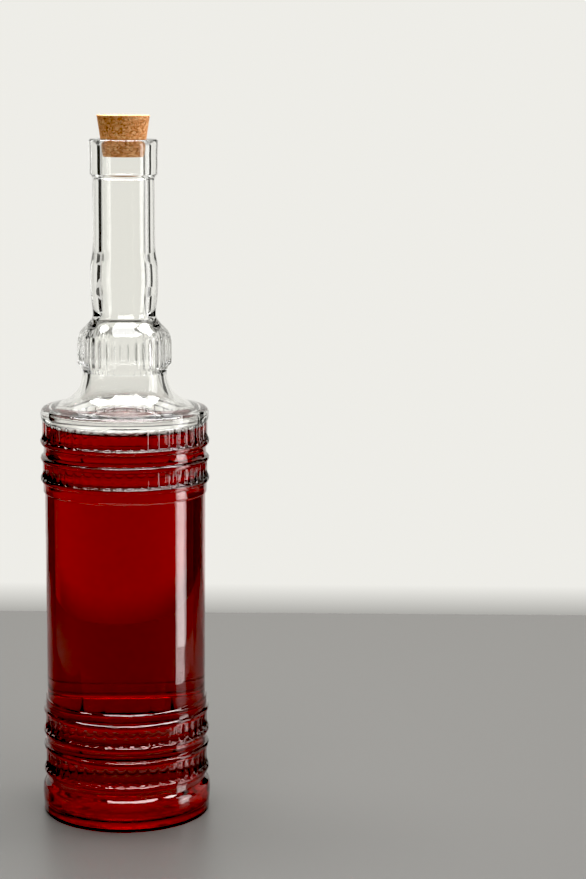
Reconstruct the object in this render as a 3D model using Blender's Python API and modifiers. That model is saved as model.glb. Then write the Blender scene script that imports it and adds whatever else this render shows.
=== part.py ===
"""A corked bottle of red wine, in pressed clear glass with ribbed bands and a fluted neck collar.

Metres, +Z up. The bottle stands on the XY plane with its axis on Z, and its front is towards -Y.
Each outline is a list of points (r, z), in metres from the axis and above the table.
"""

from math import atan2, cos, pi, radians, sin

import bmesh
import bpy

MM = 0.001

# Body of the glass
PANEL_R = 36.6 * MM  # the plain label panel, and the grooves between beads
LEDGE_R = 37.3 * MM  # the plain strip between the panel and its nearest bead
BEAD_R = 38.35 * MM  # the crest of each round bead
BEAD_HALF = 1.5 * MM  # half a bead's height up the wall
HEEL_R = 39.15 * MM
HEEL_Z = 9.9 * MM  # top of the heel's upright side
FOOT_R = 38.4 * MM  # outer edge of the flat ring it stands on
FOOT_INNER_R = 31.5 * MM
PUNT_RISE = 2.6 * MM
WALL = 2.7 * MM
FLOOR = 4.2 * MM  # thickness of the glass floor
FLOOR_CORNER = 8.0 * MM  # radius between the floor and the inner wall

# Heights of the bands, each with a bead along its lower and its upper edge
HEEL_TOP_Z = 14.4 * MM
LOW_BANDS = ((19.6 * MM, 31.3 * MM), (38.2 * MM, 48.6 * MM))
LOW_LEDGE_Z = 53.7 * MM
HIGH_LEDGE_Z = 151.7 * MM
LEDGE_STEP = 1.3 * MM  # height over which the wall steps in to the panel
HIGH_BAND = (157.3 * MM, 166.7 * MM)
TOP_BEAD_Z = 174.2 * MM
FLUTE_TOP_Z = 184.0 * MM

# Shoulder, collar and neck
SHOULDER_R = 38.15 * MM
SHOULDER_Z = 187.0 * MM
SHOULDER_ROUND = 2.6 * MM
WAIST_R = 19.0 * MM  # where the shoulder's sweep ends, under the collar
WAIST_Z = 206.0 * MM
COLLAR_R = 21.25 * MM
COLLAR_LOW_Z = 209.5 * MM
COLLAR_TOP_Z = 221.4 * MM
NECK_R = 13.9 * MM
NECK_LOW_Z = 231.9 * MM
BULGE_R = 15.3 * MM
BULGE_Z = 247.2 * MM
BORE_R = 9.9 * MM

# Finish: the thick band round the mouth
GLASS_HEIGHT = 309.8 * MM
FINISH_R = 15.45 * MM
FINISH_Z = 294.1 * MM
RIM_ROUND = 1.4 * MM
MOUTH_R = 10.2 * MM

# Flutes: hollow channels with a narrow ridge between them, each with two steps of the turned wall
BODY_FLUTES = 48
FLUTE_R = 37.4 * MM
BODY_FLUTE_DEPTH = 0.8 * MM
COLLAR_FLUTES = 36
COLLAR_FLUTE_DEPTH = 0.8 * MM

# Contents and stopper
WINE_Z = 181.0 * MM
GAP = 0.3 * MM  # kept between pieces that touch
CORK_TOP_R = 11.85 * MM
CORK_LOW_R = 8.95 * MM
CORK_TOP_Z = 320.2 * MM
CORK_LOW_Z = 302.0 * MM
CORK_CHAMFER = 0.2 * MM

MERGE = 0.01 * MM


def arc(centre, radius, start, end, pieces):
    """Points round a centre, from one angle to another in degrees, where 0 is outwards and 90 is up."""
    angles = [radians(start + (end - start) * i / pieces) for i in range(pieces + 1)]
    return [(centre[0] + radius * cos(a), centre[1] + radius * sin(a)) for a in angles]


def smooth_curve(start, start_pull, end_pull, end, pieces):
    """Points on the cubic Bezier curve with these two ends and two pulls."""
    points = []
    for i in range(pieces + 1):
        t = i / pieces
        shares = ((1 - t) ** 3, 3 * t * (1 - t) ** 2, 3 * t * t * (1 - t), t**3)
        corners = list(zip(shares, (start, start_pull, end_pull, end)))
        points.append((sum(s * c[0] for s, c in corners), sum(s * c[1] for s, c in corners)))
    return points


def bead(z, above_r, below_r):
    """A round bead, from the wall above it to the wall below it."""
    return [(above_r, z + BEAD_HALF), (BEAD_R, z), (below_r, z - BEAD_HALF)]


def underside():
    """From the standing ring in to the axis, under the shallow punt."""
    middle = (0.6 * FOOT_INNER_R, 0.8 * PUNT_RISE)
    return [(FOOT_R, 0), (FOOT_INNER_R, 0), middle, (0, PUNT_RISE)]


def body():
    """From the shoulder's edge down the ribbed bands and the panel to the heel's corner."""
    points = arc((SHOULDER_R - SHOULDER_ROUND, SHOULDER_Z), SHOULDER_ROUND, 60, -25, 2)
    points += [(SHOULDER_R - 0.2 * MM, FLUTE_TOP_Z + 0.9 * MM), (FLUTE_R, FLUTE_TOP_Z)]
    points += bead(TOP_BEAD_Z, FLUTE_R, PANEL_R)
    points += bead(HIGH_BAND[1], PANEL_R, FLUTE_R)
    points += bead(HIGH_BAND[0], FLUTE_R, LEDGE_R)
    points += [(LEDGE_R, HIGH_LEDGE_Z), (PANEL_R, HIGH_LEDGE_Z - LEDGE_STEP)]
    points += [(PANEL_R, LOW_LEDGE_Z + LEDGE_STEP), (LEDGE_R, LOW_LEDGE_Z)]
    for (low, high), wall_above in zip(reversed(LOW_BANDS), (LEDGE_R, PANEL_R)):
        points += bead(high, wall_above, FLUTE_R)
        points += bead(low, FLUTE_R, PANEL_R)
    points += [(PANEL_R, HEEL_TOP_Z), (HEEL_R - 0.6 * MM, HEEL_Z + 2.0 * MM), (HEEL_R, HEEL_Z)]
    return points + [(HEEL_R, 5.0 * MM), (HEEL_R - 0.4 * MM, 3.6 * MM), (HEEL_R - 0.4 * MM, 0.5 * MM)]


def shoulder():
    """The sweep from under the collar out to the shoulder's edge."""
    return smooth_curve(
        (WAIST_R, WAIST_Z),
        (WAIST_R + 0.3 * MM, SHOULDER_Z + 10.2 * MM),
        (23.4 * MM, SHOULDER_Z + 6.0 * MM),
        (SHOULDER_R - SHOULDER_ROUND, SHOULDER_Z + SHOULDER_ROUND + 0.3 * MM),
        6,
    )


def collar():
    """The fluted collar round the neck, from its sloping top to its undercut lower edge."""
    points = smooth_curve(
        (NECK_R + 0.3 * MM, NECK_LOW_Z),
        (NECK_R + 0.5 * MM, NECK_LOW_Z - 3.9 * MM),
        (COLLAR_R - 0.6 * MM, COLLAR_TOP_Z + 4.2 * MM),
        (COLLAR_R - 0.4 * MM, COLLAR_TOP_Z),
        4,
    )
    points += [(COLLAR_R, COLLAR_LOW_Z + 4 * MM), (COLLAR_R - 0.5 * MM, COLLAR_LOW_Z)]
    return points + [(WAIST_R + 0.6 * MM, WAIST_Z + 1.2 * MM)]


def neck():
    """From the mouth over the lip and down the neck to the collar."""
    points = [(MOUTH_R, GLASS_HEIGHT - 1.8 * MM), (MOUTH_R + 1.8 * MM, GLASS_HEIGHT)]
    points += arc((FINISH_R - RIM_ROUND, GLASS_HEIGHT - RIM_ROUND), RIM_ROUND, 90, 0, 3)
    points += [(FINISH_R - 0.2 * MM, FINISH_Z + 5 * MM), (FINISH_R - 0.5 * MM, FINISH_Z)]
    points += [(NECK_R - 0.2 * MM, FINISH_Z - 1.6 * MM), (NECK_R, FINISH_Z - 10 * MM)]
    points += [(NECK_R, BULGE_Z + 14 * MM), (BULGE_R - 0.4 * MM, BULGE_Z + 7.9 * MM), (BULGE_R, BULGE_Z)]
    return points + [(BULGE_R - 0.4 * MM, BULGE_Z - 8.1 * MM), (NECK_R + 0.3 * MM, NECK_LOW_Z + 1.8 * MM)]


def cavity():
    """From the middle of the glass floor up the inner wall to the mouth."""
    inner_r = PANEL_R - WALL
    points = [(0, FLOOR)]
    points += arc((inner_r - FLOOR_CORNER, FLOOR + FLOOR_CORNER), FLOOR_CORNER, -90, 0, 4)
    points += [(inner_r, WINE_Z + 3 * MM), (inner_r - 1.4 * MM, SHOULDER_Z - 0.4 * MM)]
    points += smooth_curve(
        (inner_r - 4.6 * MM, SHOULDER_Z + 1.2 * MM),
        (22.0 * MM, SHOULDER_Z + 3.2 * MM),
        (WAIST_R - 3.1 * MM, SHOULDER_Z + 6.8 * MM),
        (WAIST_R - 3.9 * MM, WAIST_Z),
        5,
    )
    points += [(COLLAR_R - 5.7 * MM, COLLAR_LOW_Z + 5 * MM), (COLLAR_R - 6.6 * MM, COLLAR_TOP_Z)]
    points += [(BORE_R + 1.5 * MM, NECK_LOW_Z - 2 * MM), (BORE_R, BULGE_Z - 12 * MM)]
    points += [(BORE_R + 0.7 * MM, BULGE_Z), (BORE_R, BULGE_Z + 14 * MM)]
    return points + [(BORE_R, FINISH_Z), (MOUTH_R - 0.1 * MM, GLASS_HEIGHT - 8 * MM)]


def wine_outline():
    """The wine fills the cavity up to its level, a gap away from the glass."""
    side_r = PANEL_R - WALL - GAP
    corner = FLOOR_CORNER - GAP
    points = [(0, WINE_Z), (side_r, WINE_Z)]
    points += arc((side_r - corner, FLOOR + FLOOR_CORNER), corner, 0, -90, 4)
    return points + [(0, FLOOR + GAP)]


def cork_outline():
    """A tapered stopper with a fine chamfer at both ends, wedged in the mouth."""
    chamfer = CORK_CHAMFER
    points = [(0, CORK_TOP_Z), (CORK_TOP_R - chamfer, CORK_TOP_Z), (CORK_TOP_R, CORK_TOP_Z - chamfer)]
    points += [(CORK_LOW_R, CORK_LOW_Z + chamfer), (CORK_LOW_R - chamfer, CORK_LOW_Z)]
    return points + [(0, CORK_LOW_Z)]


def material(name, color, roughness, transmission=0.0):
    """A Principled material that isn't metal."""
    made = bpy.data.materials.new(name)
    made.use_nodes = True
    shader = made.node_tree.nodes["Principled BSDF"]
    shader.inputs["Base Color"].default_value = (*color, 1)
    shader.inputs["Roughness"].default_value = roughness
    shader.inputs["Metallic"].default_value = 0
    shader.inputs["Transmission Weight"].default_value = transmission
    made.diffuse_color = (*color, 1)
    return made


def turned(name, outline, steps, collection, finish):
    """An object that turns an outline round the Z axis."""
    mesh = bpy.data.meshes.new(name)
    edges = [(i, i + 1) for i in range(len(outline) - 1)]
    mesh.from_pydata([(r, 0, z) for r, z in outline], edges, [])
    mesh.materials.append(finish)
    made = bpy.data.objects.new(name, mesh)
    collection.objects.link(made)
    screw = made.modifiers.new("Screw", "SCREW")
    screw.axis = "Z"
    screw.steps = steps
    screw.render_steps = steps
    screw.use_smooth_shade = True
    screw.use_merge_vertices = True
    screw.merge_threshold = MERGE
    return made


def add_turned(bm, outline, steps, collection, finish):
    """Add a turned surface to the mesh, and give the edges of its first and of its last ring."""
    piece = turned("section", outline, steps, collection, finish)
    graph = bpy.context.evaluated_depsgraph_get()
    surface = bpy.data.meshes.new_from_object(piece.evaluated_get(graph))
    edges_before = set(bm.edges)
    bm.from_mesh(surface)
    bpy.data.objects.remove(piece)
    bpy.data.meshes.remove(surface)
    rims = [e for e in bm.edges if e not in edges_before and e.is_boundary]
    rings = []
    for r, z in (outline[0], outline[-1]):
        there = [e for e in rims if abs(e.verts[0].co.z - z) < MERGE]
        rings.append([e for e in there if abs(e.verts[0].co.xy.length - r) < MERGE])
    return rings


def press_flutes(bm):
    """Press channels into the ribbed bands, with one at the front, and the collar, with a ridge there."""
    body_flutes = (BODY_FLUTES, pi, BODY_FLUTE_DEPTH, PANEL_R - WALL / 2)
    collar_flutes = (COLLAR_FLUTES, 0, COLLAR_FLUTE_DEPTH, WAIST_R - 1 * MM)
    bands = [(low, high - BEAD_HALF, *body_flutes) for low, high in (*LOW_BANDS, HIGH_BAND)]
    bands.append((TOP_BEAD_Z, FLUTE_TOP_Z, *body_flutes))
    bands.append((WAIST_Z + 1 * MM, COLLAR_TOP_Z, *collar_flutes))
    for low, high, flutes, turn, depth, least_r in bands:
        for vert in bm.verts:
            r = vert.co.xy.length
            if low - MERGE < vert.co.z < high + MERGE and r > least_r:
                ridge = cos(flutes * atan2(vert.co.y, vert.co.x) + turn)
                vert.co.xy *= 1 - depth * (1 - ridge) / 2 / r


def glass_bottle(collection, finish):
    """One closed shell of turned sections, from the cavity's floor over the lip and down to the punt."""
    sections = (
        (cavity(), 36),
        (neck(), 36),
        (collar(), 2 * COLLAR_FLUTES),
        (shoulder(), 48),
        (body(), 2 * BODY_FLUTES),
        (underside(), 48),
    )
    bm = bmesh.new()
    rings = [add_turned(bm, outline, steps, collection, finish) for outline, steps in sections]
    for (_, end), (start, _) in zip(rings, rings[1:]):
        bmesh.ops.bridge_loops(bm, edges=end + start)
    press_flutes(bm)
    bmesh.ops.recalc_face_normals(bm, faces=bm.faces)
    mesh = bpy.data.meshes.new("glass_bottle")
    bm.to_mesh(mesh)
    bm.free()
    mesh.materials.append(finish)
    mesh.shade_smooth()
    mesh.set_sharp_from_angle(angle=radians(40))
    collection.objects.link(bpy.data.objects.new("glass_bottle", mesh))


def main():
    for old in list(bpy.data.objects):
        bpy.data.objects.remove(old)
    collection = bpy.data.collections.new("wine_bottle")
    bpy.context.scene.collection.children.link(collection)
    glass_bottle(collection, material("clear_glass", (0.86, 0.88, 0.87), 0.03, 1.0))
    turned("wine", wine_outline(), 36, collection, material("red_wine", (0.10, 0.0, 0.003), 0.05))
    turned("cork", cork_outline(), 32, collection, material("cork", (0.52, 0.30, 0.14), 0.85))


main()
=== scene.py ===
from math import atan2, cos, hypot, pi, radians, sin, sqrt

import bmesh
import bpy
from mathutils import Matrix, Vector


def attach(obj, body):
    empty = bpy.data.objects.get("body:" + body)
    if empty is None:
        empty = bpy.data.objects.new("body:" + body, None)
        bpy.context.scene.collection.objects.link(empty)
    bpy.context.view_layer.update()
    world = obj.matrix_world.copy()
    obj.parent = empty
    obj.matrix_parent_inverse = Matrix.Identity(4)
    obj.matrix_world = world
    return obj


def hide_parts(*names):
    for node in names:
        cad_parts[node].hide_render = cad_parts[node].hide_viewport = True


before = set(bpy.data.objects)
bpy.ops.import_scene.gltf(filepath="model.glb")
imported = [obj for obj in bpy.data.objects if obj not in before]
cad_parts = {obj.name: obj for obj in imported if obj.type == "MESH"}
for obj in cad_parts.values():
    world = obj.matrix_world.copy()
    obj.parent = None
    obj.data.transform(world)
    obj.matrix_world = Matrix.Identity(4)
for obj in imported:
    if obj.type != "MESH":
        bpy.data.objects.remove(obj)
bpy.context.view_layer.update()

# A corked bottle of red wine in pressed clear glass. Metres, +Z up, the bottle's axis on Z and its
# front towards -Y. Each outline is a list of points (r, z): how far from the axis, and how high.
MM = 0.001
NEAR = 0.01 * MM  # points closer than this are one point

# Body of the glass
PANEL_R = 36.6 * MM  # the plain label panel, and the grooves between beads
LEDGE_R = 37.3 * MM  # the plain strip between the panel and its nearest bead
BEAD_R = 38.35 * MM  # the crest of each round bead
BEAD_ROUND = 1.4 * MM  # the radius of a bead's own section
BEAD_FOOT = 0.3 * MM  # the small fillet where a bead meets the wall
HEEL_R = 39.12 * MM
HEEL_TOP_Z = 14.8 * MM
HEEL_FILLET = 0.35 * MM  # where the last groove turns out into the heel
# the heel's points below that, in mm, then the top, the foot and the set-back of each fine step
HEEL_SHOULDER = ((37.35, 14.36), (37.95, 13.82), (38.4, 13.25), (38.75, 12.4), (38.98, 11.2))
HEEL_STEPS = ((8.7, 7.7, 0), (7.2, 6.0, 0.1), (5.4, 4.2, 0.24), (3.6, 1.0, 0.4))
FOOT_R = 38.4 * MM  # outer edge of the flat ring it stands on
FOOT_INNER_R = 31.5 * MM
PUNT_RISE = 2.6 * MM
WALL = 2.7 * MM
FLOOR = 3.4 * MM  # thickness of the glass floor
FLOOR_CORNER = 4.5 * MM
INNER_R = PANEL_R - WALL
LOW_INNER_R = INNER_R + 1.8 * MM  # the hollow widens a little inside the heel

# Beads from the top down, and the steps that frame the label panel
TOP_BEAD_Z = 174.2 * MM
HIGH_BAND = (157.1 * MM, 166.7 * MM)
HIGH_LEDGE_Z = 151.5 * MM
LOW_LEDGE_Z = 54.4 * MM
LOW_BANDS = ((38.3 * MM, 48.6 * MM), (19.6 * MM, 31.3 * MM))
LEDGE_STEP = 0.6 * MM

# Shoulder, collar, neck and mouth
SHOULDER_R = 38.12 * MM
SHOULDER_Z = 187.3 * MM
SHOULDER_ROUND = 2.6 * MM
WAIST_R = 19.0 * MM
WAIST_Z = 206.0 * MM
COLLAR_R = 21.25 * MM
COLLAR_LOW_Z = 209.3 * MM
COLLAR_TOP_Z = 221.4 * MM
NECK_R = 13.9 * MM
NECK_LOW_Z = 231.9 * MM
BULGE_R = 15.3 * MM
BULGE_Z = 247.2 * MM
BORE_R = 9.9 * MM
GLASS_HEIGHT = 309.8 * MM
FINISH_R = 15.45 * MM  # the thick band round the mouth
FINISH_Z = 294.1 * MM
RIM_ROUND = 1.4 * MM
MOUTH_R = 11.2 * MM  # the mouth flares out from the bore to this
MOUTH_FLARE = 2.8 * MM  # over this height

# Flutes: hollow channels with a narrow ridge between them
BODY_FLUTES = 48
RIDGE_R = 37.4 * MM
CHANNEL = 1.0 * MM
FLARE = 3.2 * MM  # over this height above the bead under a band, its ridges climb onto the bead
FLARE_END = 0.7 * MM  # at this height above the bead's middle they are all the way out
FLARE_RISES = (3.4, 2.9, 2.4, 2.0, 1.7)  # heights above the bead, in mm, of the climb's points
FLUTE_TOP_Z = 184.2 * MM
COLLAR_FLUTES = 36
COLLAR_CHANNEL = 0.8 * MM
FLUTE_STEPS = 8
SEAM_RISE = 0.12 * MM  # the two mould seams stand this proud of the wall
SEAM_WIDTH = 0.05 * MM
SEAM_AT = radians(-90 + 63.75)  # one seam, the other is opposite
ROUND_STEPS = 90  # steps round the sections that have no flutes

# Wine and cork
WINE_Z = 181.0 * MM
INTO_WALL = 0.15 * MM  # the wine reaches this far into the glass, so no air shows between them
MENISCUS = 1.3 * MM  # how high the wine climbs the glass
WINE_STEPS = 120
CORK_TOP_R = 11.8 * MM
CORK_LIP_R = 9.8 * MM  # at the mouth, with a film of air round it, so the glass stays clear
CORK_LOW_R = 9.0 * MM
CORK_TOP_Z = 320.2 * MM
CORK_LOW_Z = 302.0 * MM
CORK_EDGE = 0.3 * MM  # its worn corners
CORK_ROWS = 30
CORK_STEPS = 96


# ---------------------------------------------------------------- outlines

def around(base, *shifts):
    """Points at these distances out and up from a base point, in millimetres."""
    return [(base[0] + out * MM, base[1] + up * MM) for out, up in shifts]


def arc(centre, radius, start, end, pieces):
    """Points round a centre, from one angle to another in degrees: 0 is outwards and 90 is up."""
    angles = [radians(start + (end - start) * i / pieces) for i in range(pieces + 1)]
    return [(centre[0] + radius * cos(a), centre[1] + radius * sin(a)) for a in angles]


def pulled(start, start_pull, end_pull, end, pieces):
    """Points on the cubic Bezier curve with these two ends and two pulls."""
    points = []
    for i in range(pieces + 1):
        t = i / pieces
        shares = ((1 - t) ** 3, 3 * t * (1 - t) ** 2, 3 * t * t * (1 - t), t**3)
        corners = list(zip(shares, (start, start_pull, end_pull, end)))
        points.append((sum(s * c[0] for s, c in corners), sum(s * c[1] for s, c in corners)))
    return points


def flowing(knots, pieces):
    """A smooth curve through all the knots, with this many pieces between each two."""
    points = [knots[0]]
    for i in range(len(knots) - 1):
        a, b = knots[i], knots[i + 1]
        before = knots[i - 1] if i else a
        after = knots[i + 2] if i + 2 < len(knots) else b
        reach = hypot(b[0] - a[0], b[1] - a[1])
        pulls = []
        for near, p, q in ((a, before, b), (b, after, a)):
            span = hypot(q[0] - p[0], q[1] - p[1])
            along = ((q[0] - p[0]) / span, (q[1] - p[1]) / span)
            pulls.append((near[0] + along[0] * reach / 3, near[1] + along[1] * reach / 3))
        points += pulled(a, pulls[0], pulls[1], b, pieces)[1:]
    return points


def bead(z, above_r, below_r):
    """A round bead with a fillet at both feet, from the wall above it to the wall below it."""
    middle = (BEAD_R - BEAD_ROUND, z)
    points = []
    for wall_r, way in ((above_r, 1), (below_r, -1)):
        # the fillet's centre lies a fillet's radius off the wall and touches the bead's circle
        foot = max(wall_r, middle[0]) + BEAD_FOOT
        reach = BEAD_ROUND + BEAD_FOOT
        rise = sqrt(reach**2 - (foot - middle[0]) ** 2)
        centre = (foot, z + way * rise)
        meet = atan2(rise, foot - middle[0]) * 180 / pi
        if way > 0:
            points += arc(centre, BEAD_FOOT, 180, 180 + meet, 2)[:-1]
            points += arc(middle, BEAD_ROUND, meet, 0, 5)
        else:
            points += arc(middle, BEAD_ROUND, 0, -meet, 4)[1:]
            points += arc(centre, BEAD_FOOT, 180 - meet, 180, 2)[1:]
    return points


def channel_rows(bead_z, floor_r):
    """Points on a channel's floor just above the bead under it, where its ridges climb the bead."""
    return around((floor_r, bead_z), *((0, rise) for rise in FLARE_RISES))


def body():
    """From under the collar over the shoulder and down the banded wall to the foot."""
    floor_r = RIDGE_R - CHANNEL
    edge_r = SHOULDER_R - SHOULDER_ROUND
    points = around((WAIST_R, WAIST_Z), (0.15, 0.5)) + pulled(
        (WAIST_R, WAIST_Z),
        (WAIST_R + 0.3 * MM, SHOULDER_Z + 9.9 * MM),
        (23.4 * MM, SHOULDER_Z + 5.7 * MM),
        (edge_r - 0.2 * MM, SHOULDER_Z + SHOULDER_ROUND + 0.15 * MM),
        14,
    )
    points += arc((edge_r, SHOULDER_Z), SHOULDER_ROUND, 74, 0, 6)
    points += around((SHOULDER_R, FLUTE_TOP_Z), (-0.02, 1.9), (-0.1, 0.9))
    points += arc((SHOULDER_R - 0.65 * MM, FLUTE_TOP_Z + 0.7 * MM), 0.5 * MM, 0, -70, 3)
    points += around((floor_r, FLUTE_TOP_Z), (0.45, 0), (0.1, -0.4), (0, -1.0))
    points += channel_rows(TOP_BEAD_Z, floor_r) + bead(TOP_BEAD_Z, floor_r, PANEL_R)
    points += bead(HIGH_BAND[1], PANEL_R, floor_r) + channel_rows(HIGH_BAND[0], floor_r)
    points += bead(HIGH_BAND[0], floor_r, LEDGE_R)
    points += ledge(HIGH_LEDGE_Z, -1) + ledge(LOW_LEDGE_Z, 1)
    for (low, high), above_r in zip(LOW_BANDS, (LEDGE_R, PANEL_R)):
        points += bead(high, above_r, floor_r) + channel_rows(low, floor_r)
        points += bead(low, floor_r, PANEL_R)
    return points + heel()


def heel():
    """A sloping shoulder out of the last groove, then a side that narrows in fine steps."""
    fillet = (PANEL_R + HEEL_FILLET, HEEL_TOP_Z + HEEL_FILLET)
    points = arc(fillet, HEEL_FILLET, 180, 230, 3)
    points += around((0, 0), *HEEL_SHOULDER) + around((HEEL_R, 0), (0, 9.8))
    for top, foot, inwards in HEEL_STEPS:
        points += around((HEEL_R, 0), (-inwards, top), (-inwards - 0.02, foot))
    return points + around((0, 0), (38.66, 0.45), (38.55, 0.12)) + [(FOOT_R, 0)]


def ledge(z, way):
    """The small rounded step between plain strip and label panel, down into it or up out of it."""
    far = z + way * LEDGE_STEP
    lead = way * 0.5 * MM
    ease = 0.04 * MM
    points = flowing([
        (LEDGE_R, z - lead),
        (LEDGE_R - ease, z),
        ((LEDGE_R + PANEL_R) / 2, (z + far) / 2),
        (PANEL_R + ease, far),
        (PANEL_R, far + lead),
    ], 3)
    return points if way < 0 else points[::-1]


def collar():
    """The fluted collar: its sloping top, its upright fluted wall and its undercut lower edge."""
    points = pulled(
        *around((NECK_R, NECK_LOW_Z), (0.32, -0.3), (0.5, -3.9)),
        *around((COLLAR_R, COLLAR_TOP_Z), (-0.6, 4.2), (-0.4, 0)),
        14,
    )
    points += around((COLLAR_R, COLLAR_TOP_Z), (-0.15, -1.1), (-0.04, -2.4))
    points += around((COLLAR_R, (COLLAR_LOW_Z + COLLAR_TOP_Z) / 2), (0, 0))
    points += around((COLLAR_R, COLLAR_LOW_Z), (-0.06, 2.4))
    points += arc((COLLAR_R - 0.9 * MM, COLLAR_LOW_Z + 0.9 * MM), 0.8 * MM, 15, -70, 5)
    return points + around((WAIST_R, WAIST_Z), (1.0, 2.6), (0.65, 1.7), (0.35, 1.0))


def neck():
    """From just inside the mouth over the lip and down the neck to the collar."""
    points = pulled(
        (BORE_R + 0.02 * MM, GLASS_HEIGHT - MOUTH_FLARE),
        (BORE_R + 0.1 * MM, GLASS_HEIGHT - 0.45 * MOUTH_FLARE),
        (MOUTH_R - 0.7 * MM, GLASS_HEIGHT),
        (MOUTH_R, GLASS_HEIGHT),
        10,
    )
    points += arc((FINISH_R - RIM_ROUND, GLASS_HEIGHT - RIM_ROUND), RIM_ROUND, 90, 0, 8)
    points += flowing(
        around((FINISH_R, GLASS_HEIGHT), (-0.03, -2.3), (-0.2, -5.3), (-0.3, -7.0))
        + around((FINISH_R, FINISH_Z), (-0.2, 5.2), (-0.22, 3.4), (-0.38, 1.6)),
        2,
    )
    points += arc((FINISH_R - 1.3 * MM, FINISH_Z + 0.7 * MM), 0.9 * MM, 5, -70, 5)
    return points + flowing(
        around((NECK_R, FINISH_Z), (-0.02, -1.2), (-0.2, -2.2), (-0.15, -4.6), (0, -12))
        + around((NECK_R, BULGE_Z), (0.02, 22), (0.16, 13), (0.7, 9.4))
        + around((BULGE_R, BULGE_Z), (-0.27, 6.6), (0, 0.6), (-0.1, -3.4), (-0.4, -8.1))
        + around((NECK_R, BULGE_Z), (0.5, -11.6))
        + around((NECK_R, NECK_LOW_Z), (0.3, 1.0)),
        4,
    )


def hollow_foot(reach):
    """The hollow from the middle of its floor up to the plain wall, moved out by this reach."""
    corner = (LOW_INNER_R - FLOOR_CORNER, FLOOR + FLOOR_CORNER)
    points = [(0, FLOOR - 0.5 * MM - reach), (0.5 * corner[0], FLOOR - 0.35 * MM - reach)]
    points += arc(corner, FLOOR_CORNER + reach, -88, -8, 11)
    return points + pulled(
        (LOW_INNER_R + reach, corner[1]),
        (LOW_INNER_R + reach, corner[1] + 3 * MM),
        (INNER_R + reach, HEEL_TOP_Z - 1 * MM),
        (INNER_R + reach, HEEL_TOP_Z + 3 * MM),
        5,
    )


def cavity():
    """From the middle of the glass floor up the inner wall to the mouth."""
    slope = (INNER_R - 5.0 * MM, SHOULDER_Z + 2.2 * MM)
    waist = (WAIST_R - 3.5 * MM, WAIST_Z)
    points = hollow_foot(0) + [(INNER_R, WINE_Z + 2 * MM)]
    points += pulled(
        (INNER_R, WINE_Z + 3 * MM), *around((INNER_R, SHOULDER_Z), (0, 0.5), (-2.2, 1.1)), slope, 8
    )
    points += pulled(
        slope,
        (23.5 * MM, SHOULDER_Z + 4.0 * MM),
        (WAIST_R - 3.0 * MM, SHOULDER_Z + 7.5 * MM),
        waist,
        12,
    )[1:]
    return points + flowing(
        [waist]
        + around((COLLAR_R, COLLAR_LOW_Z), (-5.7, 5))
        + around((COLLAR_R, COLLAR_TOP_Z), (-6.6, 0))
        + around((BORE_R, NECK_LOW_Z), (1.5, -2))
        + around((BORE_R, BULGE_Z), (0, -12), (0.7, 0), (0, 14))
        + [(BORE_R, FINISH_Z)]
        + around((BORE_R, GLASS_HEIGHT), (0, -8), (0, -5)),
        4,
    )[1:]


def underside():
    """From the standing ring in to the middle, under the shallow punt."""
    return [(FOOT_R - 0.4 * MM, 0), (FOOT_INNER_R + 0.4 * MM, 0)] + flowing([
        (FOOT_INNER_R, 0.05 * MM),
        (0.9 * FOOT_INNER_R, 0.45 * PUNT_RISE),
        (0.6 * FOOT_INNER_R, 0.8 * PUNT_RISE),
        (0, PUNT_RISE),
    ], 4)


def wine_outline():
    """The wine fills the hollow to its level, reaches just into the wall and climbs it a little."""
    side_r = INNER_R + INTO_WALL
    points = [(0, WINE_Z), (side_r - 7 * MM, WINE_Z)]
    # how far from the glass in mm, and which share of the climb is done there
    climb = ((5, 0.02), (3.6, 0.06), (2.5, 0.14), (1.6, 0.28), (0.9, 0.5), (0.4, 0.76), (0, 1))
    points += [(side_r - off * MM, WINE_Z + MENISCUS * share) for off, share in climb]
    return points + hollow_foot(INTO_WALL)[::-1]


def cork_outline():
    """A tapered stopper, narrower below the mouth, with worn corners."""
    points = [(share * CORK_TOP_R, CORK_TOP_Z) for share in (0, 0.35, 0.7)]
    high, low = CORK_TOP_Z - CORK_EDGE, CORK_LOW_Z + CORK_EDGE
    points += arc((CORK_TOP_R - CORK_EDGE, high), CORK_EDGE, 90, 0, 3)
    mouth_z = GLASS_HEIGHT - MOUTH_FLARE
    for i in range(1, CORK_ROWS):
        z = high + (low - high) * i / CORK_ROWS
        if z > mouth_z:
            r = CORK_LIP_R + (CORK_TOP_R - CORK_LIP_R) * (z - mouth_z) / (CORK_TOP_Z - mouth_z)
        else:
            share = (z - CORK_LOW_Z) / (mouth_z - CORK_LOW_Z)
            r = CORK_LOW_R + (CORK_LIP_R - CORK_LOW_R) * share**0.8
        points.append((r, z))
    points += arc((CORK_LOW_R - CORK_EDGE, low), CORK_EDGE, 0, -90, 3)
    return points + [(0.5 * CORK_LOW_R, CORK_LOW_Z), (0, CORK_LOW_Z)]


# ---------------------------------------------------------------- modelling, as by hand

def drawn(name, outline, turn=0.0):
    """Draw an outline point by point in the upright plane at this angle. It stays in edit mode."""
    places = [Vector((r * cos(turn), r * sin(turn), z)) for r, z in outline]
    bpy.ops.object.select_all(action="DESELECT")
    bpy.ops.mesh.primitive_plane_add(size=MM, location=places[0])
    piece = bpy.context.object
    piece.name = piece.data.name = name
    bpy.ops.object.transform_apply(location=True, rotation=False, scale=False)
    bpy.ops.object.mode_set(mode="EDIT")
    bpy.ops.mesh.select_mode(type="VERT")
    bpy.ops.mesh.select_all(action="SELECT")
    bpy.ops.mesh.merge(type="CENTER")
    for before, after in zip(places, places[1:]):
        bpy.ops.mesh.extrude_region_move(TRANSFORM_OT_translate={"value": after - before})
    return piece


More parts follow.
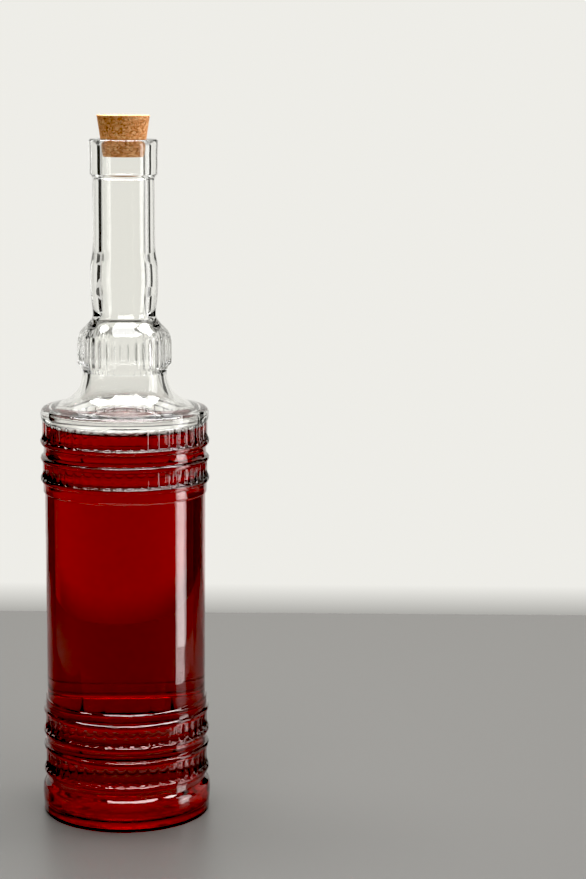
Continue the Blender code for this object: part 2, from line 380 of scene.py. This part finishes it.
def spun(steps, angle=2 * pi, copies=False):
    """Spin what is drawn round the bottle's axis, or copy it round, and weld what meets."""
    bpy.ops.mesh.select_all(action="SELECT")
    bpy.ops.mesh.spin(
        steps=steps, angle=angle, dupli=copies, center=(0, 0, 0), axis=(0, 0, 1)
    )
    bpy.ops.mesh.select_all(action="SELECT")
    bpy.ops.mesh.remove_doubles(threshold=NEAR)


def turned(name, outline, steps):
    """An outline spun all the way round."""
    piece = drawn(name, outline)
    spun(steps)
    return piece


def choose(piece, chosen):
    """Select the points for which chosen(point) is true, and say how many there are."""
    bm = bmesh.from_edit_mesh(piece.data)
    for vert in bm.verts:
        vert.select = chosen(vert.co)
    bm.select_flush_mode()
    bmesh.update_edit_mesh(piece.data)
    return sum(v.select for v in bm.verts)


def widen(piece, chosen, share):
    """Scale the chosen points away from the bottle's axis."""
    if choose(piece, chosen):
        bpy.ops.transform.resize(value=(share, share, 1), center_override=(0, 0, 0))


def rows_between(piece, low, high):
    """The rows of points between two heights, each as (z, r)."""
    bm = bmesh.from_edit_mesh(piece.data)
    found = {(round(v.co.z, 7), round(v.co.xy.length, 7)) for v in bm.verts if low < v.co.z < high}
    return sorted(found)


def channel_level(ridge_r, pitch, depth, off):
    """How far out a round channel's floor lies, at this share of the way to its ridge."""
    half = ridge_r * pitch / 2
    curve = (half**2 + depth**2) / (2 * depth)
    return ridge_r - (sqrt(curve**2 - (off * half) ** 2) - (curve - depth))


def set_level(piece, row, pitch, middle, off, level):
    """Move a row's points that lie this share of the way to the ridges to a level."""
    z, r = row
    widen(
        piece,
        lambda co: abs(co.z - z) < NEAR
        and abs(co.xy.length - r) < NEAR
        and abs(abs(atan2(co.y, co.x) - middle) / (pitch / 2) - off) < 0.05,
        level / r,
    )


def band_channel(piece, pitch, low, high):
    """Give a one-flute wedge its channel between two heights: a round floor and a ridge each side.

    Over the bead at the low end the ridges climb to its crest, and part its top into swells.
    """
    for z, r in rows_between(piece, low, high):
        climb = min(max((FLARE - (z - low)) / (FLARE - FLARE_END), 0), 1)
        ridge_r = RIDGE_R + (BEAD_R + 0.1 * MM - RIDGE_R) * climb**2
        for step in range(FLUTE_STEPS // 2 + 1):
            off = step / (FLUTE_STEPS / 2)
            level = channel_level(ridge_r, pitch, CHANNEL, off)
            if level > r:
                set_level(piece, (z, r), pitch, 0, off, level)


def fluted_body():
    """One flute's wedge of the body, with its channel in each band, copied all the way round."""
    pitch = 2 * pi / BODY_FLUTES
    piece = drawn("body", body(), pitch / 2)
    spun(FLUTE_STEPS, pitch)
    for low, high in ((TOP_BEAD_Z, FLUTE_TOP_Z + 0.4 * MM), HIGH_BAND, *LOW_BANDS):
        band_channel(piece, pitch, low, high)
    spun(BODY_FLUTES - 1, 2 * pi - pitch, copies=True)
    return piece


def fluted_collar():
    """One flute's wedge of the collar, with its channel pressed in, copied all the way round."""
    pitch = 2 * pi / COLLAR_FLUTES
    piece = drawn("collar", collar(), pitch)
    spun(FLUTE_STEPS, pitch)
    for step in range(FLUTE_STEPS // 2):
        off = step / (FLUTE_STEPS / 2)
        level = channel_level(COLLAR_R, pitch, COLLAR_CHANNEL, off)
        for z, r in rows_between(piece, COLLAR_LOW_Z - 0.3 * MM, COLLAR_TOP_Z + 2.6 * MM):
            if r > level:
                set_level(piece, (z, r), pitch, pitch / 2, off, level)
    spun(COLLAR_FLUTES - 1, 2 * pi - pitch, copies=True)
    return piece


def set_aside(piece):
    """Leave edit mode, with the piece kept for later."""
    bpy.ops.object.mode_set(mode="OBJECT")
    return piece


def finished(piece, crisp=180):
    """Turn the faces outwards, leave edit mode and shade smooth but for edges sharper than this."""
    bpy.ops.mesh.select_all(action="SELECT")
    bpy.ops.mesh.normals_make_consistent(inside=False)
    bpy.ops.object.mode_set(mode="OBJECT")
    bpy.ops.object.shade_smooth_by_angle(angle=radians(crisp))
    return piece


def seam(piece, angle):
    """Raise the fine line that a mould's joint leaves up the outside at this angle."""
    line = Vector((cos(angle), sin(angle)))

    def on_seam(co):
        return (
            co.xy.dot(line) > 30 * MM
            and abs(co.xy.cross(line)) < SEAM_WIDTH
            and co.z > 2 * MM
            and co.xy.length > INNER_R + 1 * MM
        )

    widen(piece, on_seam, 1 + SEAM_RISE / PANEL_R)


def glass_bottle():
    """The whole bottle as one closed shell: its sections joined, and the gaps between bridged."""
    sections = [
        set_aside(turned("glass", cavity(), ROUND_STEPS)),
        set_aside(turned("neck", neck(), ROUND_STEPS)),
        set_aside(fluted_collar()),
        set_aside(fluted_body()),
        set_aside(turned("underside", underside(), ROUND_STEPS)),
    ]
    bpy.ops.object.select_all(action="DESELECT")
    for section in sections:
        section.select_set(True)
    piece = bpy.context.view_layer.objects.active = sections[0]
    bpy.ops.object.join()
    piece.name = piece.data.name = "glass_bottle_clear"
    bpy.ops.object.mode_set(mode="EDIT")
    outlines = (cavity(), neck(), collar(), body(), underside())
    for outline, following in zip(outlines, outlines[1:]):
        rings = (outline[-1], following[0])
        choose(piece, lambda co: any(
            abs(co.xy.length - r) < NEAR and abs(co.z - z) < NEAR for r, z in rings
        ))
        bpy.ops.mesh.bridge_edge_loops()
    for angle in (SEAM_AT, SEAM_AT + pi):
        seam(piece, angle)
    return finished(piece)


# ---------------------------------------------------------------- materials

def linear(colour):
    """The linear colour of an sRGB hex value."""
    parts = [int(colour[i:i + 2], 16) / 255 for i in (1, 3, 5)]
    return (*[c / 12.92 if c <= 0.04045 else ((c + 0.055) / 1.055) ** 2.4 for c in parts], 1)


def add(tree, kind, inputs=None, **settings):
    """Add a node. Inputs are set by value, or linked where an output is given."""
    node = tree.nodes.new(kind)
    for key, value in settings.items():
        setattr(node, key, value)
    for key, value in (inputs or {}).items():
        if isinstance(value, bpy.types.NodeSocket):
            tree.links.new(value, node.inputs[key])
        else:
            node.inputs[key].default_value = value
    return node


def empty_material(name):
    """A new material without nodes, and its node tree."""
    made = bpy.data.materials.new(name)
    made.use_nodes = True
    made.node_tree.nodes.clear()
    return made, made.node_tree


def ramp(tree, factor, stops):
    """A colour ramp with these (place, colour) stops."""
    node = add(tree, "ShaderNodeValToRGB", {"Fac": factor})
    while len(node.color_ramp.elements) < len(stops):
        node.color_ramp.elements.new(0.5)
    for element, (place, colour) in zip(node.color_ramp.elements, stops):
        element.position = place
        element.color = linear(colour)
    return node.outputs["Color"]


def soda_lime_glass():
    """Pressed, fire-polished soda-lime glass: clear and nearly colourless, with a slow ripple."""
    made, tree = empty_material("soda_lime_glass_pressed")
    place = add(tree, "ShaderNodeTexCoord").outputs["Object"]
    # the mould leaves swells about 12 mm across that bend reflections a little
    swell = add(tree, "ShaderNodeTexNoise", {
        "Vector": place, "Scale": 80.0, "Detail": 1.0, "Roughness": 0.4,
    })
    ripple = add(tree, "ShaderNodeBump", {
        "Height": swell.outputs["Fac"], "Distance": 0.02 * MM, "Strength": 0.4,
    })
    glass = add(tree, "ShaderNodeBsdfPrincipled", {
        "Base Color": linear("#FCFCFA"), "IOR": 1.52, "Roughness": 0.0, "Transmission Weight": 1.0,
        "Normal": ripple.outputs["Normal"],
    })
    add(tree, "ShaderNodeOutputMaterial", {"Surface": glass.outputs["BSDF"]})
    return made


def red_wine():
    """Young red wine: clear, deep red through the bottle's width and lighter where it is thin."""
    made, tree = empty_material("red_wine_liquid")
    wine = add(tree, "ShaderNodeBsdfPrincipled", {
        "Base Color": linear("#FFFFFF"), "IOR": 1.345, "Roughness": 0.0, "Transmission Weight": 1.0,
        "Specular IOR Level": 0.2,
    })
    # over 68 mm this lets through about a third of the red and nearly no green or blue
    tint = add(tree, "ShaderNodeVolumeAbsorption", {"Color": (0.9, 0.0, 0.04, 1), "Density": 171.0})
    add(tree, "ShaderNodeOutputMaterial", {
        "Surface": wine.outputs["BSDF"], "Volume": tint.outputs["Volume"],
    })
    return made


def agglomerated_cork():
    """Cork granules about 1 mm across, pressed together: tan to orange-brown, pitted and matt."""
    made, tree = empty_material("cork_agglomerated")
    place = add(tree, "ShaderNodeTexCoord").outputs["Object"]
    bend = add(tree, "ShaderNodeTexNoise", {"Vector": place, "Scale": 600.0, "Detail": 2.0})
    bent = add(tree, "ShaderNodeMixRGB", {
        "Fac": 0.0012, "Color1": place, "Color2": bend.outputs["Color"],
    }, blend_type="ADD").outputs["Color"]
    # the granules lie flat, wider than they are high
    laid = add(tree, "ShaderNodeMapping", {
        "Vector": bent, "Scale": (1.0, 1.0, 1.7),
    }).outputs["Vector"]
    grain = add(tree, "ShaderNodeTexVoronoi", {"Vector": laid, "Scale": 850.0})
    shade = ramp(tree, grain.outputs["Color"], (
        (0.0, "#B87042"), (0.35, "#DC9864"), (0.55, "#EAA876"), (0.8, "#F8C894"), (1.0, "#D4834A"),
    ))
    pits = add(tree, "ShaderNodeTexNoise", {
        "Vector": laid, "Scale": 1500.0, "Detail": 3.0, "Roughness": 0.65,
    })
    dark = ramp(tree, pits.outputs["Fac"], (
        (0.0, "#5A3018"), (0.36, "#8A5630"), (0.45, "#FFFFFF"),
    ))
    colour = add(tree, "ShaderNodeMixRGB", {
        "Fac": 0.9, "Color1": shade, "Color2": dark,
    }, blend_type="MULTIPLY")
    bump = add(tree, "ShaderNodeBump", {
        "Height": pits.outputs["Fac"], "Distance": 0.35 * MM, "Strength": 0.8,
    })
    cork = add(tree, "ShaderNodeBsdfPrincipled", {
        "Base Color": colour.outputs["Color"], "Roughness": 0.9, "IOR": 1.45,
        "Normal": bump.outputs["Normal"],
    })
    add(tree, "ShaderNodeOutputMaterial", {"Surface": cork.outputs["BSDF"]})
    return made


def plain_paint(name, colour, roughness):
    """Evenly coloured paint."""
    made, tree = empty_material(name)
    paint = add(tree, "ShaderNodeBsdfPrincipled", {
        "Base Color": linear(colour), "Roughness": roughness,
    })
    add(tree, "ShaderNodeOutputMaterial", {"Surface": paint.outputs["BSDF"]})
    return made


def lit_sheet(name, strength, painted_shade_colour=None, low_z=0.0, high_z=0.0):
    """Pale cloth lit from behind. With a painted shade colour, it darkens to that from high_z down
    to low_z: painted shade, darker towards the bottom.
    """
    made, tree = empty_material(name)
    shade = linear(PALE)
    if painted_shade_colour:
        place = add(tree, "ShaderNodeTexCoord").outputs["Object"]
        height = add(tree, "ShaderNodeSeparateXYZ", {"Vector": place}).outputs["Z"]
        share = add(tree, "ShaderNodeMapRange", {
            "Value": height, "From Min": low_z, "From Max": high_z,
        }).outputs[0]
        # painted shade: the sheet turns to the darker colour towards its bottom
        shade = ramp(tree, share, ((0.0, painted_shade_colour), (1.0, PALE)))
    glow = add(tree, "ShaderNodeEmission", {"Color": shade, "Strength": strength})
    add(tree, "ShaderNodeOutputMaterial", {"Surface": glow.outputs["Emission"]})
    return made


# ---------------------------------------------------------------- the bottle

glass = glass_bottle()
glass.data.materials.append(soda_lime_glass())
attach(glass, "root")
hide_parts("glass_bottle")

wine = finished(turned("red_wine_in_bottle", wine_outline(), WINE_STEPS), 40)
wine.data.materials.append(red_wine())
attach(wine, "root")
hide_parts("wine")

cork = finished(turned("cork_stopper", cork_outline(), CORK_STEPS), 60)
cork.data.materials.append(agglomerated_cork())
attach(cork, "root")
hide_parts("cork")


# ---------------------------------------------------------------- studio

PALE = "#EFEEE9"  # every lit cloth
BACKDROP_Y = 1.75
SHEET_FOOT_Z = -0.05  # the upright sheets stand from here up, and the low ones reach up to here
FLAG_TOP_Z = 1.7
LOW_FLAG_SPAN = (-0.74, -0.06)
WALL_R = 3.3
WALL_SPAN = (-0.75, 2.6)


def plane(name, corners, material):
    """A flat sheet with these four corners."""
    bpy.ops.object.select_all(action="DESELECT")
    bpy.ops.mesh.primitive_plane_add(size=1)
    sheet = bpy.context.object
    sheet.name = sheet.data.name = name
    for vert, corner in zip(sheet.data.vertices, corners):
        vert.co = corner
    sheet.data.materials.append(material)
    return sheet


def upright(name, left, right, low_z, high_z, material):
    """An upright sheet from a left to a right place on the floor plan, between two heights."""
    corners = ((*left, low_z), (*right, low_z), (*left, high_z), (*right, high_z))
    return plane(name, corners, material)


def softbox(name, place, target, width, height, radiance):
    """A flat lamp of this size, pointed at the target. Its power gives its face the radiance."""
    lamp = bpy.data.lights.new(name, "AREA")
    lamp.shape = "RECTANGLE"
    lamp.size, lamp.size_y = width, height
    lamp.energy = radiance * pi * width * height
    made = bpy.data.objects.new(name, lamp)
    bpy.context.collection.objects.link(made)
    aim = (Vector(target) - Vector(place)).to_track_quat("-Z", "Y").to_matrix().to_4x4()
    made.matrix_world = Matrix.Translation(place) @ aim
    made.visible_camera = False
    return made


table_corners = ((-0.36, -0.16, 0), (0.34, -0.16, 0), (-0.36, 0.369, 0), (0.34, 0.369, 0))
plane("table_top", table_corners, plain_paint("pale_grey_paint", "#4E4D4B", 0.4))
upright("lit_backdrop", (-1.7, BACKDROP_Y), (0.8, BACKDROP_Y), SHEET_FOOT_Z, 2.0,
        lit_sheet("white_diffuser_cloth", 1.0))
# the backdrop's foot darkens to grey from z -0.312 down to -0.36: painted shade, darker towards the
# bottom
upright("lit_backdrop_foot", (-1.2, BACKDROP_Y), (0.95, BACKDROP_Y), -0.7, SHEET_FOOT_Z,
        lit_sheet("white_diffuser_cloth_foot_painted_shade", 1.0, "#9F9E9A", -0.36, -0.312))
upright("lit_side_right", (1.22, 1.48), (1.75, 0.6), SHEET_FOOT_Z, FLAG_TOP_Z,
        lit_sheet("white_diffuser_cloth_side", 0.85))

# two black flags draw the dark streaks up the sides of the clear neck
for name, left, right in (
    ("black_flag_left", (-2.9, 1.3), (-1.7, BACKDROP_Y)),
    ("black_flag_right", (0.78, 1.79), (1.25, 1.5)),
):
    upright(name, left, right, SHEET_FOOT_Z, FLAG_TOP_Z, lit_sheet(name + "_velvet", 0.02))

# a pale wall and floor far round the rest: the camera and the light through the glass meet it,
# but the glass doesn't mirror it
wall_outline = [(0.02, WALL_SPAN[0]), (WALL_R, WALL_SPAN[0]), (WALL_R, WALL_SPAN[1])]
wall = finished(turned("studio_wall", wall_outline, 48), 30)
wall.data.materials.append(lit_sheet("pale_studio_wall", 0.78))
wall.visible_glossy = wall.visible_diffuse = wall.visible_shadow = False

# two low flags that only the light through the glass meets darken the label panel's two edges
for name, left, right, strength in (
    ("low_flag_left", (-1.5, 0.95), (-0.95, 1.55), 0.13),
    ("low_flag_right", (1.02, 1.5), (1.5, 0.95), 0.26),
):
    flag = upright(name, left, right, *LOW_FLAG_SPAN, lit_sheet(name + "_grey_cloth", strength))
    flag.visible_camera = flag.visible_glossy = flag.visible_diffuse = flag.visible_shadow = False

softbox("front_softbox", (0.13, -0.4, 1.4), (0.13, -0.4, 0), 1.1, 0.7, 13)
softbox("overhead_softbox", (0.1, 0.33, 1.4), (0.1, 0.33, 0), 2.0, 0.6, 15)
softbox("back_softbox", (0.1, 1.62, 1.5), (0.05, 0, 0.2), 2.2, 0.9, 1.2)
softbox("right_softbox", (1.7, 0.05, 0.4), (0, 0, 0.4), 0.52, 1.9, 4.3)

world = bpy.data.worlds.new("dim_studio")
bpy.context.scene.world = world
world.use_nodes = True
world.node_tree.nodes["Background"].inputs["Color"].default_value = (0.13, 0.13, 0.125, 1)


# ---------------------------------------------------------------- camera and view

CAMERA_PLACE = (0.0679, -0.97183, 0.34039)
CAMERA_YAW = -0.5276  # degrees, and so are the next two; below nought is to the right
CAMERA_DIP = 11.5089  # below level
CAMERA_ROLL = 0.5651
DEEPEST_BLACK = 0.05  # what is darker than this turns black

camera = bpy.data.objects.new("camera", bpy.data.cameras.new("camera"))
bpy.context.collection.objects.link(camera)
camera.data.lens = 88.48
camera.data.sensor_width = 36
camera.data.shift_y = 0.08
camera.matrix_world = (
    Matrix.Translation(CAMERA_PLACE)
    @ Matrix.Rotation(radians(CAMERA_YAW), 4, "Z")
    @ Matrix.Rotation(radians(90 - CAMERA_DIP), 4, "X")
    @ Matrix.Rotation(radians(CAMERA_ROLL), 4, "Z")
)
bpy.context.scene.camera = camera
view = bpy.context.scene.view_settings
view.view_transform = "Standard"
view.use_curve_mapping = True
view.curve_mapping.black_level = (DEEPEST_BLACK, DEEPEST_BLACK, DEEPEST_BLACK)
view.curve_mapping.update()
